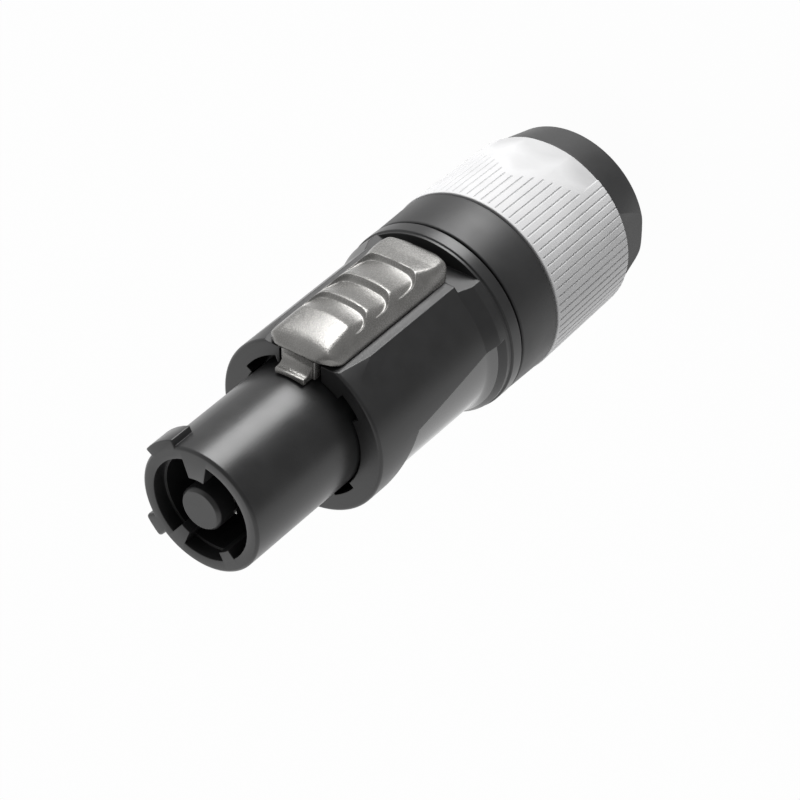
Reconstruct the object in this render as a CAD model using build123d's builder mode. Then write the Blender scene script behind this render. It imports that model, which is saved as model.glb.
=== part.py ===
# Locking power connector for a mains cable.
# The connector stands on its cable end: +Z runs along its axis from the cable end to the nose,
# and the latch faces -Y. All sizes are in millimetres, all angles in degrees.
from build123d import *
from math import cos, degrees, radians, sin
import os

# Lengths along the axis
rear_end_length = 6.9
grip_length = 18.6
grip_gap = 0.3
collar_length = 8.1
collar_gap = 0.4
housing_length = 32.0
nose_reach = 22.3

grip_bottom = rear_end_length
grip_top = grip_bottom + grip_length
collar_bottom = grip_top + grip_gap
collar_top = collar_bottom + collar_length
housing_bottom = collar_top + collar_gap
housing_top = housing_bottom + housing_length
nose_top = housing_top + nose_reach

# Clearances
slide_gap = 0.15
turn_gap = 0.1
moving_gap = 0.3
fixed_gap = 0.2
seat_gap = 0.05
reach_past = 1.0

# Nose and contact socket of the insert
nose_radius = 10.0
rim_bevel = 0.45
mouth_radius = 8.1
mouth_depth = 2.3
socket_radius = 7.75
socket_depth = 17.0
post_radius = 3.4
post_bevel = 0.35
lug_length = 4.0
big_lug_radius = 11.05
big_lug_angle = 310
big_lug_width = 32
small_lug_radius = 11.6
small_lug_angle = 40
small_lug_width = 18
top_rib_inner = 5.1
top_rib_angle = 275
top_rib_width = 29
low_rib_inner = 5.4
low_rib_angle = 60
low_rib_width = 16
side_rib_inner = 6.7
side_rib_angle = 126
side_rib_width = 17

# Housing outside
body_radius = 13.9
front_face_radius = 13.4
front_edge = 0.45
shoulder_length = 7.3
panel_angle = 48
seat_height = 12.3
flange_radius = 14.6
flange_ramp_top = 6.8
flange_ramp_bottom = 4.3
seat_wall = 2.65
pocket_depth = 0.65
pocket_length = 4.05
rear_ring_radius = flange_radius + 0.25
rear_ring_length = 2.15
relief_radius = 13.15
relief_front_place = 8.7
relief_rear_end = 5.7
relief_front_rise = 0.4
relief_rear_rise = 3.5
relief_front_slant = 9.0
relief_ramp_length = 7.0
relief_rear_ramp = 3.6

# Housing inside
cavity_radius = 10.9
front_wall = 3.3
opening_radius = 10.3
spigot_radius = 12.5
spigot_length = 18.0
keyway_spread = 3
spare_key_radius = 11.6
spare_key_angle = 221
spare_key_width = 21
low_key_radius = 11.2
low_key_angle = 132
low_key_width = 23

# Latch
latch_travel = 1.5
latch_front = 0.8
latch_rear = 4.3
latch_half_width = 6.0
latch_edge_height = 0.35
crown_half_width = 3.4
crown_height = 15.95
crown_rise = 0.2
crown_rounding = 1.1
nose_arc_length = 5.4
nose_low_height = 13.5
nose_mid_height = 15.4
nose_mid_place = 1.6
nose_undercut = 2.4
tail_height = 15.0
tail_slope = 0.145
tail_corner = 3.0
nose_corner = 3.2
step_depth = 1.0
step_lean = 24
lobe_starts = [6.6, 11.2, 16.4]
lobe_ends = [10.3, 15.5, 21.6]
lobe_half_width = 4.7
lobe_corner = 2.4
lobe_floor = 14.05
bar_width = 4.94
bar_length = 1.9
bar_top = 10.9
neck_width = 5.8
neck_thickness = 1.6
neck_front = 0.6
neck_side_gap = 0.7
foot_width = 0.9
foot_place = 5.0
foot_depth = 0.95
foot_length = 4.0
foot_places = [10.3, 24.3]
toe_width = 0.5
toe_height = 0.45

# Latch spring and its stop
spring_radius = 0.8
wire_radius = 0.2
spring_length = 12.0
spring_turns = 7
points_per_turn = 10
stop_length = 2.0
stop_width = 3.2
stop_top = 13.9
stop_place = 17.3
trough_depth = 0.6
trough_width = 2.6
hollow_height = 14.1

# Terminals and contacts
insert_start = 5.7
chamber_width = 5.6
chamber_depth = 14.0
terminal_width = 5.2
terminal_length = 9.0
terminal_outer = 8.4
wire_hole_radius = 1.5
wire_hole_place = 5.4
screw_radius = 1.25
screw_tip = 6.2
screw_head_radius = 1.9
screw_head_height = 1.0
screw_slot_width = 0.5
screw_slot_depth = 0.45
contact_width = 3.0
contact_thickness = 0.85
contact_recess = 0.05
contact_tip_depth = 3.5
live_angle = 0
neutral_angle = 180
earth_angle = 90

# Bushing and grip
collar_radius = flange_radius + 0.35
collar_front_radius = flange_radius + 0.2
grip_front_radius = collar_radius + 0.15
grip_rear_radius = grip_front_radius - 0.4
rear_shoulder_radius = grip_rear_radius - 0.35
rear_face_radius = rear_shoulder_radius - 1.4
rear_edge = 0.6
rear_flat_distance = rear_face_radius - 0.45
core_sides = 12
core_corner_radius = grip_rear_radius - 0.8
cable_radius = 9.0
flute_count = 74
flute_width = 0.35
flute_depth = 0.2
grip_lip = 0.7
smooth_half_turn = 37
smooth_length = 10.4
smooth_side_length = 4.8
smooth_depth = 0.15
latch_side_angle = 270
far_side_angle = 90

# Chuck
chuck_bore = 8.2
chuck_tip_radius = 9.3
chuck_cone_length = 7.0
chuck_end_gap = 0.5
chuck_length = 29.0
chuck_slots = 8
chuck_slot_width = 1.2
chuck_slot_length = 16.0
key_length = 14.0

os.makedirs("parts", exist_ok=True)


def polar(radius, angle):
    """Point in the XY plane at a polar angle."""
    return (radius * cos(radians(angle)), radius * sin(radians(angle)))


def pie(radius, angle, width):
    """Face of a pie slice centred on a polar angle."""
    first = polar(radius, angle - width / 2)
    last = polar(radius, angle + width / 2)
    with BuildSketch() as piece:
        with BuildLine():
            Line((0, 0), first)
            ThreePointArc(first, polar(radius, angle), last)
            Line(last, (0, 0))
        make_face()
    return piece.sketch


def radial_plane(angle, distance, height):
    """Plane facing outward at a polar angle, with its y direction along the connector's axis."""
    x, y = polar(distance, angle)
    facing = polar(1, angle)
    sideways = polar(1, angle + 90)
    return Plane(origin=(x, y, height), x_dir=(*sideways, 0), z_dir=(*facing, 0))


def upright_plane(angle, height):
    """Plane across the axis whose x direction points outward at a polar angle."""
    return Plane(origin=(0, 0, height), x_dir=(*polar(1, angle), 0), z_dir=(0, 0, 1))


def body_section(radius):
    """Housing outline: a circle whose two upper tangents rise to the flat latch seat."""
    across = radius * sin(radians(panel_angle))
    touch = radius * cos(radians(panel_angle))
    corner = across - (seat_height - touch) / (sin(radians(panel_angle)) / cos(radians(panel_angle)))
    with BuildSketch() as outline:
        with BuildLine():
            ThreePointArc((across, -touch), (0, radius), (-across, -touch))
            Polyline((-across, -touch), (-corner, -seat_height), (corner, -seat_height), (across, -touch))
        make_face()
    return outline.sketch


# Heights shared by several parts
insert_bottom = housing_bottom + insert_start
shoulder_top = housing_top - front_wall
spigot_bottom = housing_bottom - spigot_length
socket_floor = nose_top - socket_depth
chamber_top = insert_bottom + chamber_depth
insert_radius = cavity_radius - fixed_gap
big_key_radius = big_lug_radius + moving_gap
small_key_radius = small_lug_radius + moving_gap
contact_outer = post_radius - contact_recess
contact_inner = contact_outer - contact_thickness
contact_top = nose_top - contact_tip_depth
terminal_top = chamber_top - fixed_gap
terminal_bottom = terminal_top - terminal_length
screw_height = terminal_bottom + terminal_length / 2
stop_front = housing_top - stop_place
spring_height = seat_height - trough_depth + fixed_gap + spring_radius + wire_radius

# Relief tool: the slanted side outline of the hollow under the housing, without its round core
relief_front = housing_top - relief_front_place
relief_back = housing_bottom + relief_rear_end
core_ramp_end = relief_back - relief_rear_ramp / 2
with BuildPart() as relief_tool:
    with BuildSketch(Plane.YZ):
        with BuildLine():
            Polyline(
                (-relief_front_rise, relief_front),
                (-relief_rear_rise, relief_back),
                (body_radius + reach_past, core_ramp_end - relief_rear_ramp / 4),
                (body_radius + reach_past, relief_front + relief_front_slant),
                close=True,
            )
        make_face()
    extrude(amount=rear_ring_radius + reach_past, both=True)
    with BuildSketch(Plane.XZ):
        with BuildLine():
            Polyline(
                (0, core_ramp_end - relief_rear_ramp),
                (flange_radius + relief_rear_ramp / 4, core_ramp_end - relief_rear_ramp),
                (flange_radius, core_ramp_end - relief_rear_ramp / 4),
                (relief_radius, core_ramp_end + relief_rear_ramp / 2),
                (relief_radius, relief_front),
                (body_radius, relief_front + relief_ramp_length),
                (body_radius, housing_top + reach_past),
                (0, housing_top + reach_past),
                close=True,
            )
        make_face()
    revolve(axis=Axis.Z, mode=Mode.SUBTRACT)

# Housing: body, latch seat, side panels, relief, rear flange and threaded spigot
with BuildPart() as housing:
    with BuildSketch(Plane.XY.offset(housing_bottom + flange_ramp_top)):
        add(body_section(body_radius))
    extrude(amount=housing_length - flange_ramp_top)
    with BuildSketch(Plane.XY.offset(housing_bottom + flange_ramp_bottom)):
        add(body_section(flange_radius))
    with BuildSketch(Plane.XY.offset(housing_bottom + flange_ramp_top)):
        add(body_section(body_radius))
    loft(ruled=True)
    with BuildSketch(Plane.XY.offset(housing_bottom + seat_wall)):
        add(body_section(flange_radius))
    extrude(amount=flange_ramp_bottom - seat_wall)
    with BuildSketch(Plane.XY.offset(housing_bottom)):
        Circle(flange_radius)
    extrude(amount=seat_wall)
    with BuildSketch(Plane.XY.offset(housing_bottom)):
        Circle(rear_ring_radius)
    extrude(amount=rear_ring_length)
    with BuildSketch(Plane.XY.offset(spigot_bottom)):
        Circle(spigot_radius)
    extrude(amount=spigot_length)
    # the front edge and the round trim of the two shoulders
    with BuildSketch(Plane.XZ):
        with BuildLine():
            Polyline(
                (front_face_radius, housing_top),
                (body_radius, housing_top - front_edge),
                (flange_radius, housing_top - shoulder_length),
                (flange_radius + reach_past, housing_top - shoulder_length),
                (flange_radius + reach_past, housing_top + reach_past),
                (front_face_radius, housing_top + reach_past),
                close=True,
            )
        make_face()
    revolve(axis=Axis.Z, mode=Mode.SUBTRACT)
    add(relief_tool.part, mode=Mode.SUBTRACT)
    # bore, front opening and keyways
    with BuildSketch(Plane.XY.offset(spigot_bottom)):
        Circle(cavity_radius)
        add(pie(big_key_radius, big_lug_angle, big_lug_width + keyway_spread))
        add(pie(small_key_radius, small_lug_angle, small_lug_width + keyway_spread))
    extrude(amount=shoulder_top - spigot_bottom, mode=Mode.SUBTRACT)
    with BuildSketch(Plane.XY.offset(shoulder_top)):
        Circle(opening_radius)
        add(pie(big_key_radius, big_lug_angle, big_lug_width + keyway_spread))
        add(pie(small_key_radius, small_lug_angle, small_lug_width + keyway_spread))
        add(pie(spare_key_radius, spare_key_angle, spare_key_width))
        add(pie(low_key_radius, low_key_angle, low_key_width))
        with Locations((0, -(nose_radius + body_radius) / 2 - reach_past)):
            Rectangle(neck_width + 2 * neck_side_gap, body_radius - nose_radius + 2 * reach_past)
    extrude(amount=front_wall, mode=Mode.SUBTRACT)
    # latch seat: rear pocket, spring trough, stop block and the guide slots
    with BuildSketch(Plane.XZ.offset(seat_height - pocket_depth)):
        with Locations((0, housing_bottom + seat_wall + pocket_length / 2)):
            Rectangle(2 * flange_radius, pocket_length)
    extrude(amount=pocket_depth + reach_past, mode=Mode.SUBTRACT)
    with BuildSketch(Plane.XZ.offset(seat_height)):
        with Locations((0, stop_front + spring_length / 2)):
            Rectangle(trough_width, spring_length)
    extrude(amount=-trough_depth, mode=Mode.SUBTRACT)
    with BuildSketch(Plane.XZ.offset(seat_height - trough_depth)):
        with Locations((0, stop_front - stop_length / 2)):
            Rectangle(stop_width, stop_length)
    extrude(amount=stop_top - seat_height + trough_depth)
    for place in foot_places:
        slot_length = foot_length + latch_travel + 2 * fixed_gap
        slot_middle = housing_top - place - latch_travel - fixed_gap + slot_length / 2
        for side in (-1, 1):
            with BuildSketch(Plane.XZ.offset(seat_height)):
                with Locations((side * foot_place, slot_middle)):
                    Rectangle(foot_width + 2 * slide_gap, slot_length)
            extrude(amount=-(foot_depth + slide_gap), mode=Mode.SUBTRACT)
            with BuildSketch(Plane.XZ.offset(seat_height - foot_depth + toe_height + slide_gap)):
                with Locations((side * (foot_place + toe_width / 2), slot_middle)):
                    Rectangle(foot_width + toe_width + 2 * slide_gap, slot_length)
            extrude(amount=-(toe_height + 2 * slide_gap), mode=Mode.SUBTRACT)

housing.part.label = "housing"
export_step(housing.part, "parts/housing.step")

# Insert: nose with its lugs, the contact socket and the carrier for the terminals
with BuildPart() as insert:
    with BuildSketch(Plane.XZ):
        with BuildLine():
            Polyline(
                (0, insert_bottom),
                (insert_radius, insert_bottom),
                (insert_radius, shoulder_top),
                (nose_radius, shoulder_top),
                (nose_radius, nose_top - rim_bevel),
                (nose_radius - rim_bevel, nose_top),
                (mouth_radius, nose_top),
                (mouth_radius, nose_top - mouth_depth),
                (socket_radius, nose_top - mouth_depth),
                (socket_radius, socket_floor),
                (post_radius, socket_floor),
                (post_radius, nose_top - post_bevel),
                (post_radius - post_bevel, nose_top),
                (0, nose_top),
                close=True,
            )
        make_face()
    revolve(axis=Axis.Z)
    # bayonet lugs at the rim
    with BuildSketch(Plane.XY.offset(nose_top - lug_length)):
        add(pie(big_lug_radius, big_lug_angle, big_lug_width))
        add(pie(small_lug_radius, small_lug_angle, small_lug_width))
        Circle(nose_radius - rim_bevel, mode=Mode.SUBTRACT)
    extrude(amount=lug_length)
    # coding ribs in the socket
    with BuildSketch(Plane.XY.offset(socket_floor)):
        add(pie(mouth_radius + seat_gap, top_rib_angle, top_rib_width))
        Circle(top_rib_inner, mode=Mode.SUBTRACT)
    extrude(amount=socket_depth)
    with BuildSketch(Plane.XY.offset(socket_floor)):
        add(pie(mouth_radius + seat_gap, low_rib_angle, low_rib_width))
        Circle(low_rib_inner, mode=Mode.SUBTRACT)
    extrude(amount=socket_depth)
    with BuildSketch(Plane.XY.offset(socket_floor)):
        add(pie(mouth_radius + seat_gap, side_rib_angle, side_rib_width))
        Circle(side_rib_inner, mode=Mode.SUBTRACT)
    extrude(amount=socket_depth)
    # keys that hold the insert in the housing's keyways
    with BuildSketch(Plane.XY.offset(insert_bottom)):
        add(pie(big_key_radius - fixed_gap, big_lug_angle, big_lug_width))
        add(pie(small_key_radius - fixed_gap, small_lug_angle, small_lug_width))
        Circle(nose_radius, mode=Mode.SUBTRACT)
    extrude(amount=shoulder_top - insert_bottom)
    # terminal chambers, screwdriver windows and contact slots
    for angle in (live_angle, neutral_angle, earth_angle):
        with BuildSketch(upright_plane(angle, insert_bottom)):
            with Locations(((contact_inner + terminal_outer + fixed_gap) / 2, 0)):
                Rectangle(terminal_outer + fixed_gap - contact_inner, chamber_width)
        extrude(amount=chamber_depth, mode=Mode.SUBTRACT)
        with BuildSketch(radial_plane(angle, terminal_outer, screw_height)):
            Circle(screw_head_radius + fixed_gap)
        extrude(amount=insert_radius + reach_past - terminal_outer, mode=Mode.SUBTRACT)
        with BuildSketch(upright_plane(angle, chamber_top)):
            with Locations(((contact_inner + post_radius) / 2, 0)):
                Rectangle(post_radius - contact_inner, contact_width)
        extrude(amount=socket_floor - chamber_top, mode=Mode.SUBTRACT)
        with BuildSketch(upright_plane(angle, socket_floor)):
            with Locations(((contact_inner + post_radius + reach_past) / 2, 0)):
                Rectangle(post_radius + reach_past - contact_inner, contact_width)
        extrude(amount=contact_top - socket_floor, mode=Mode.SUBTRACT)

insert.part.label = "insert"
export_step(insert.part, "parts/insert.step")


def make_contact(angle):
    """Contact strip that runs from its terminal up the side of the centre post."""
    width = contact_width - 2 * seat_gap
    with BuildPart() as strip:
        with BuildSketch(upright_plane(angle, terminal_bottom)):
            with Locations((contact_inner + contact_thickness / 2, 0)):
                Rectangle(contact_thickness, width)
        extrude(amount=contact_top - fixed_gap - terminal_bottom)
    return strip.part


def make_terminal(angle):
    """Screw terminal block with its wire hole and the hole for the clamping screw."""
    with BuildPart() as block:
        with BuildSketch(upright_plane(angle, terminal_bottom)):
            with Locations(((contact_outer + terminal_outer) / 2, 0)):
                Rectangle(terminal_outer - contact_outer, terminal_width)
            with Locations((wire_hole_place, 0)):
                Circle(wire_hole_radius, mode=Mode.SUBTRACT)
        extrude(amount=terminal_length)
        with BuildSketch(radial_plane(angle, wire_hole_place, screw_height)):
            Circle(screw_radius + seat_gap)
        extrude(amount=terminal_outer - wire_hole_place, mode=Mode.SUBTRACT)
    return block.part


def make_screw(angle):
    """Slotted clamping screw, its head against the outside of the terminal."""
    with BuildPart() as screw:
        with BuildSketch(radial_plane(angle, screw_tip, screw_height)):
            Circle(screw_radius)
        extrude(amount=terminal_outer - screw_tip)
        with BuildSketch(radial_plane(angle, terminal_outer, screw_height)):
            Circle(screw_head_radius)
        extrude(amount=screw_head_height)
        with BuildSketch(radial_plane(angle, terminal_outer + screw_head_height, screw_height)):
            Rectangle(2 * screw_head_radius + reach_past, screw_slot_width)
        extrude(amount=-screw_slot_depth, mode=Mode.SUBTRACT)
    return screw.part


for pole, angle in (("live", live_angle), ("neutral", neutral_angle), ("earth", earth_angle)):
    contact = make_contact(angle)
    contact.label = "contact_" + pole
    export_step(contact, "parts/contact_" + pole + ".step")
    terminal = make_terminal(angle)
    terminal.label = "terminal_" + pole
    export_step(terminal, "parts/terminal_" + pole + ".step")
    clamp = make_screw(angle)
    clamp.label = "screw_" + pole
    export_step(clamp, "parts/screw_" + pole + ".step")

# Latch: thumb pad with three stepped lobes, hollow underneath, neck, locking bar and guide feet
latch_top = housing_top + latch_front
latch_bottom = housing_bottom + latch_rear
pad_bottom = seat_height + slide_gap
crown_top = crown_height + crown_rise
neck_top = housing_top + neck_front
tail_run = (crown_top + reach_past - tail_height) / tail_slope


def crown_outline():
    """Cross-section of the thumb pad, its y direction pointing away from the axis."""
    with BuildSketch() as outline:
        with BuildLine():
            Polyline(
                (crown_half_width, crown_height),
                (latch_half_width, pad_bottom + latch_edge_height),
                (latch_half_width, pad_bottom),
                (-latch_half_width, pad_bottom),
                (-latch_half_width, pad_bottom + latch_edge_height),
                (-crown_half_width, crown_height),
            )
            ThreePointArc(
                (-crown_half_width, crown_height),
                (0, crown_top),
                (crown_half_width, crown_height),
            )
        make_face()
        fillet(outline.vertices().group_by(Axis.Y)[-1], radius=crown_rounding)
    return outline.sketch


def make_scoop(start, end):
    """Hollow over one lobe of the pad: it falls towards the cable end and stops at a leaning step."""
    lobe_front = latch_top - start
    lobe_back = latch_top - end
    slope = step_depth / (lobe_front - lobe_back)
    lobe_plane = Plane(origin=(0, -crown_height, lobe_front), x_dir=(1, 0, 0), z_dir=(0, slope, -1))
    with BuildPart() as scoop:
        with BuildSketch(Plane.XZ.offset(lobe_floor)) as plan:
            with Locations((0, (lobe_front + lobe_back) / 2)):
                Rectangle(2 * lobe_half_width, lobe_front - lobe_back)
            fillet(plan.vertices().group_by(Axis.Y)[0], radius=lobe_corner)
        extrude(amount=crown_top + reach_past - lobe_floor, taper=-step_lean)
        with BuildSketch(lobe_plane):
            with Locations((0, -crown_height)):
                add(crown_outline())
        extrude(amount=latch_top - latch_bottom, both=True, mode=Mode.SUBTRACT)
    return scoop.part


scoops = [make_scoop(start, end) for start, end in zip(lobe_starts, lobe_ends)]

with BuildPart() as latch:
    with BuildSketch(Plane(origin=(0, 0, latch_bottom), x_dir=(-1, 0, 0), z_dir=(0, 0, 1))):
        add(crown_outline())
    extrude(amount=latch_top - latch_bottom)
    # side profile: low tail, high middle and a round nose
    with BuildSketch(Plane.YZ):
        with BuildLine():
            Polyline(
                (-crown_top, latch_top - nose_arc_length),
                (-crown_top - reach_past, latch_bottom + tail_run),
                (-tail_height, latch_bottom),
                (-pad_bottom, latch_bottom),
                (-pad_bottom, latch_top - nose_undercut),
                (-nose_low_height, latch_top),
            )
            ThreePointArc(
                (-nose_low_height, latch_top),
                (-nose_mid_height, latch_top - nose_mid_place),
                (-crown_top, latch_top - nose_arc_length),
            )
        make_face()
    extrude(amount=latch_half_width + reach_past, both=True, mode=Mode.INTERSECT)
    # plan outline with round corners
    with BuildSketch(Plane.XZ.offset(pad_bottom)) as plan:
        with Locations((0, (latch_top + latch_bottom) / 2)):
            Rectangle(2 * latch_half_width, latch_top - latch_bottom)
        fillet(plan.vertices().group_by(Axis.Y)[-1], radius=nose_corner)
        fillet(plan.vertices().group_by(Axis.Y)[0], radius=tail_corner)
    extrude(amount=crown_top + reach_past - pad_bottom, mode=Mode.INTERSECT)
    for scoop in scoops:
        add(scoop, mode=Mode.SUBTRACT)
    # neck and locking bar, hollowed to clear the nose
    with BuildSketch(Plane.XY.offset(neck_top - neck_thickness)):
        with Locations((0, -(nose_radius + nose_low_height) / 2)):
            Rectangle(neck_width, nose_low_height - nose_radius)
    extrude(amount=neck_thickness)
    with BuildSketch(Plane.XY.offset(neck_top - neck_thickness)):
        with Locations((0, -(nose_radius + bar_top) / 2)):
            Rectangle(bar_width, bar_top - nose_radius)
    extrude(amount=neck_thickness + bar_length)
    with BuildSketch(Plane.XY.offset(neck_top - neck_thickness)):
        Circle(nose_radius + moving_gap)
    extrude(amount=neck_thickness + bar_length, mode=Mode.SUBTRACT)
    # hollow for the spring and the stop block
    with BuildSketch(Plane.XZ.offset(pad_bottom)):
        with Locations((0, stop_front + (spring_length - stop_length - seat_gap) / 2)):
            Rectangle(stop_width + 2 * fixed_gap, spring_length + stop_length + seat_gap)
    extrude(amount=hollow_height - pad_bottom, mode=Mode.SUBTRACT)
    # guide feet with their toes
    for place in foot_places:
        for side in (-1, 1):
            with BuildSketch(Plane.XZ.offset(seat_height - foot_depth)):
                with Locations((side * foot_place, housing_top - place + foot_length / 2)):
                    Rectangle(foot_width, foot_length)
            extrude(amount=foot_depth + slide_gap + latch_edge_height)
            with BuildSketch(Plane.XZ.offset(seat_height - foot_depth)):
                with Locations((side * (foot_place + toe_width / 2), housing_top - place + foot_length / 2)):
                    Rectangle(foot_width + toe_width, foot_length)
            extrude(amount=toe_height)

latch.part.label = "latch"
export_step(latch.part, "parts/latch.step")

# Latch spring: a coil between the stop block and the front wall of the latch hollow
coil_length = spring_length - 2 * wire_radius
coil_steps = spring_turns * points_per_turn
coil_points = []
for step in range(coil_steps + 1):
    across, along = polar(spring_radius, 360 * step / points_per_turn)
    height = stop_front + wire_radius + coil_length * step / coil_steps
    coil_points.append((across, along - spring_height, height))
with BuildPart() as latch_spring:
    with BuildLine() as coil:
        Polyline(*coil_points)
    with BuildSketch(Plane(origin=coil_points[0], z_dir=coil.line % 0)):
        Rectangle(2 * wire_radius, 2 * wire_radius)
    sweep(transition=Transition.RIGHT)

latch_spring.part.label = "latch_spring"
export_step(latch_spring.part, "parts/latch_spring.step")

# Chuck: slotted collet with a round body, a cone for the bushing and a key for the housing
chuck_top = insert_bottom - chuck_end_gap
chuck_bottom = chuck_top - chuck_length
cone_top = chuck_bottom + chuck_cone_length
chuck_radius = cavity_radius - fixed_gap
with BuildPart() as chuck:
    with BuildSketch(Plane.XZ):
        with BuildLine():
            Polyline(
                (chuck_bore, chuck_bottom),
                (chuck_tip_radius, chuck_bottom),
                (chuck_radius, cone_top),
                (chuck_radius, chuck_top),
                (chuck_bore, chuck_top),
                close=True,
            )
        make_face()
    revolve(axis=Axis.Z)
    with BuildSketch(Plane.XY.offset(chuck_top - key_length)):
        add(pie(small_key_radius - fixed_gap, small_lug_angle, small_lug_width))
        Circle((chuck_bore + chuck_radius) / 2, mode=Mode.SUBTRACT)
    extrude(amount=key_length)
    with Locations((0, 0, chuck_bottom)):
        with PolarLocations((chuck_bore + chuck_radius) / 2, chuck_slots):
            Box(
                chuck_radius,
                chuck_slot_width,
                chuck_slot_length,
                align=(Align.CENTER, Align.CENTER, Align.MIN),
                mode=Mode.SUBTRACT,
            )

chuck.part.label = "chuck"
export_step(chuck.part, "parts/chuck.step")

# Bushing: collar, core under the grip and the rear end with its two wrench flats


def core_outline():
    """Many-sided core that keeps the grip sleeve from slipping round."""
    with BuildSketch() as outline:
        RegularPolygon(core_corner_radius, core_sides, rotation=180 / core_sides)
    return outline.sketch


bushing_bore = spigot_radius + turn_gap
bore_bottom = spigot_bottom - moving_gap
cone_slope = (chuck_radius - chuck_tip_radius) / chuck_cone_length
cone_bottom = chuck_bottom - moving_gap
with BuildPart() as bushing:
    with BuildSketch(Plane.XZ):
        with BuildLine():
            Polyline(
                (0, 0),
                (rear_face_radius - rear_edge, 0),
                (rear_face_radius, rear_edge),
                (rear_shoulder_radius, grip_bottom),
                (0, grip_bottom),
                close=True,
            )
        make_face()
    revolve(axis=Axis.Z)
    with BuildSketch(Plane.XZ):
        with BuildLine():
            Polyline(
                (0, collar_bottom),
                (collar_radius, collar_bottom),
                (collar_front_radius, collar_top),
                (0, collar_top),
                close=True,
            )
        make_face()
    revolve(axis=Axis.Z)
    with BuildSketch(Plane.XY.offset(grip_bottom)):
        add(core_outline())
    extrude(amount=collar_bottom - grip_bottom)
    with BuildSketch(Plane.XZ):
        with BuildLine():
            Polyline(
                (0, -reach_past),
                (cable_radius, -reach_past),
                (cable_radius, cone_bottom),
                (chuck_tip_radius + moving_gap, cone_bottom),
                (chuck_tip_radius + moving_gap + cone_slope * (bore_bottom - chuck_bottom), bore_bottom),
                (bushing_bore, bore_bottom),
                (bushing_bore, collar_top + reach_past),
                (0, collar_top + reach_past),
                close=True,
            )
        make_face()
    revolve(axis=Axis.Z, mode=Mode.SUBTRACT)
    for side in (-1, 1):
        with BuildSketch(Plane.XY):
            with Locations((side * (rear_flat_distance + rear_shoulder_radius) / 2, 0)):
                Rectangle(rear_shoulder_radius - rear_flat_distance, 2 * rear_shoulder_radius)
        extrude(amount=grip_bottom, mode=Mode.SUBTRACT)

bushing.part.label = "bushing"
export_step(bushing.part, "parts/bushing.step")

# Grip sleeve: tapered and fluted, with a front lip and a smooth field on either side
grip_slope = (grip_front_radius - grip_rear_radius) / grip_length
flute_angles = [latch_side_angle + (place + 0.5) * 360 / flute_count for place in range(flute_count)]


def flute_start(angle):
    """Height above the sleeve's rear end at which a flute starts: it stops short of a smooth field."""
    turn = abs((angle - latch_side_angle + 90) % 180 - 90)
    if turn > smooth_half_turn:
        return -reach_past
    start = smooth_length - (smooth_length - smooth_side_length) * turn / smooth_half_turn
    return round(start, 3)


with BuildPart() as grip_sleeve:
    with BuildSketch(Plane.XZ):
        with BuildLine():
            Polyline(
                (0, grip_bottom),
                (grip_rear_radius, grip_bottom),
                (grip_front_radius, grip_top),
                (0, grip_top),
                close=True,
            )
        make_face()
    revolve(axis=Axis.Z)
    with BuildSketch(Plane.XY.offset(grip_bottom)):
        add(core_outline())
    extrude(amount=grip_length, mode=Mode.SUBTRACT)
    for start in sorted({flute_start(angle) for angle in flute_angles}):
        flute_length = grip_length - grip_lip - start
        flute_middle = start + flute_length / 2
        flute_radius = grip_rear_radius + grip_slope * flute_middle
        flutes = [
            Location((*polar(flute_radius, angle), grip_bottom + flute_middle), (0, 0, angle))
            for angle in flute_angles
            if flute_start(angle) == start
        ]
        with Locations(*flutes):
            Box(
                2 * flute_depth,
                flute_width,
                flute_length,
                rotation=(0, degrees(grip_slope), 0),
                mode=Mode.SUBTRACT,
            )
    # the smooth fields sink slightly towards the cable end
    for middle in (latch_side_angle, far_side_angle):
        outward = polar(1, middle - smooth_half_turn)
        field_plane = Plane(
            origin=(0, 0, grip_bottom),
            x_dir=(*outward, 0),
            z_dir=(outward[1], -outward[0], 0),
        )
        with BuildSketch(field_plane):
            with BuildLine():
                Polyline(
                    (grip_rear_radius - smooth_depth, 0),
                    (grip_rear_radius + grip_slope * smooth_side_length, smooth_side_length),
                    (grip_front_radius + reach_past, smooth_side_length),
                    (grip_front_radius + reach_past, 0),
                    close=True,
                )
            make_face()
        revolve(axis=Axis.Z, revolution_arc=2 * smooth_half_turn, mode=Mode.SUBTRACT)

grip_sleeve.part.label = "grip_sleeve"
export_step(grip_sleeve.part, "parts/grip_sleeve.step")
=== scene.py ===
# %% [markdown]
# # A locking power connector
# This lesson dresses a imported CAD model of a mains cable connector: a black moulded body, a cast
# metal thumb latch and a pale fluted grip. The CAD solids stay the frame of everything, in metres,
# with the cable end at the origin, the nose along +Z and the latch towards -Y. The pieces that
# catch the light are rebuilt here with finer meshes, and every piece gets its own finish.

# %% Load the CAD frame
from math import cos, hypot, pi, radians, sin, tan

import bmesh
import bpy
import numpy as np
from mathutils import Matrix, Vector


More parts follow.
